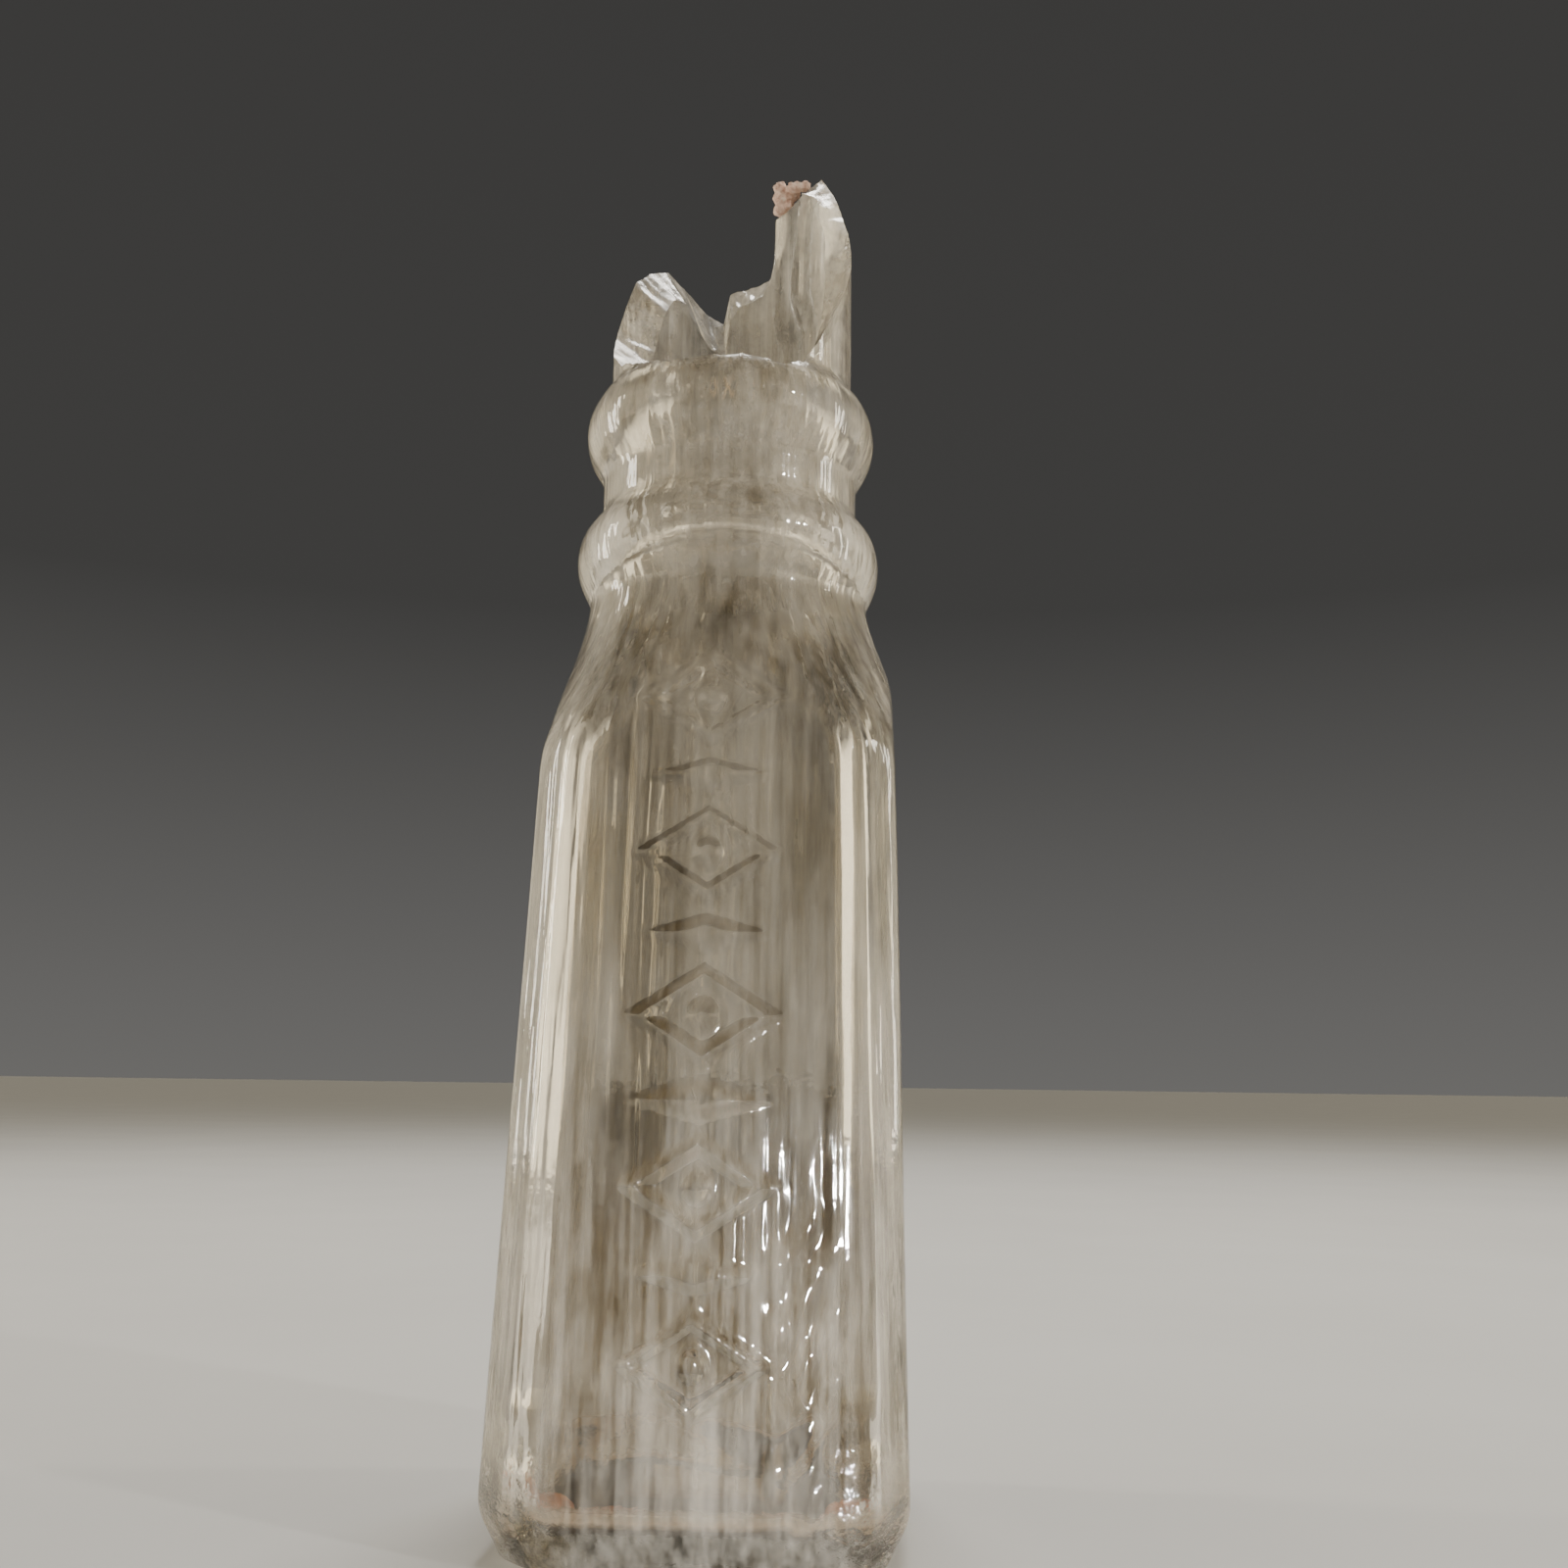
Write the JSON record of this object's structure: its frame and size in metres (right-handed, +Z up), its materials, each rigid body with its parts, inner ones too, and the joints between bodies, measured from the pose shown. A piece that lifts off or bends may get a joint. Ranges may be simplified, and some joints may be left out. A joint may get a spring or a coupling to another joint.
{
  "type": "glass medicine bottle",
  "caption": "Square clear glass medicine bottle with bevelled corners, raised front ornament, two neck rings and a jagged broken mouth.",
  "frame": {"origin": "middle of the base, in the plane the bottle stands on", "axes": "+Z up along the bottle's axis towards the mouth; the front panel with the ornament faces -Y; +X to the right of that panel"},
  "size_m": [0.0362, 0.0365, 0.1413],
  "materials": {
    "clear_glass": "gloss, slightly wavy, faint straw and grey-green tint",
    "rust": "rough, crusted",
    "residue": "matte, dried"
  },
  "bodies": {
    "root": {"glass_bottle": "clear_glass", "rust_crumb": "rust", "dried_residue": "residue"}
  },
  "joints": []
}
